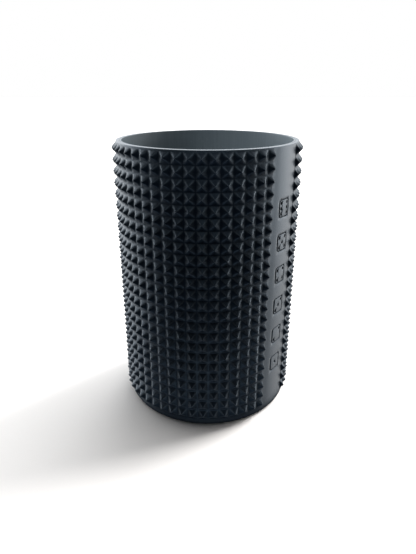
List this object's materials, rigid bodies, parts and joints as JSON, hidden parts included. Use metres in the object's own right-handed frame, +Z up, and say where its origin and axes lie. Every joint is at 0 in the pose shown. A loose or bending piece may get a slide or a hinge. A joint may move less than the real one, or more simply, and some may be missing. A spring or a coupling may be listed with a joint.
{
  "type": "dice cup",
  "caption": "Straight-sided round dice cup with a pyramid-studded leather-look sleeve, a plain upright strip engraved with die faces, a flat rim and a smooth lined inside.",
  "frame": {"origin": "centre of the flat face the cup stands on", "axes": "+Z up out of the mouth, -Y towards the front, with the plain strip on the front's right at 52 degrees towards +X"},
  "size_m": [0.0754, 0.0754, 0.112],
  "materials": {
    "sleeve_skin": "matte moulded skin with a fine leather-like grain",
    "stiff_core": "plain",
    "lining": "smooth, slightly satin",
    "board": "pressed fibreboard",
    "pad": "dense felt",
    "underside": "matte, fine leather-like grain"
  },
  "bodies": {
    "root": {"studded_sleeve": "sleeve_skin", "core_tube": "stiff_core", "liner_wall": "lining", "base_board": "board", "floor_pad": "pad", "base_cover": "underside"}
  },
  "joints": []
}
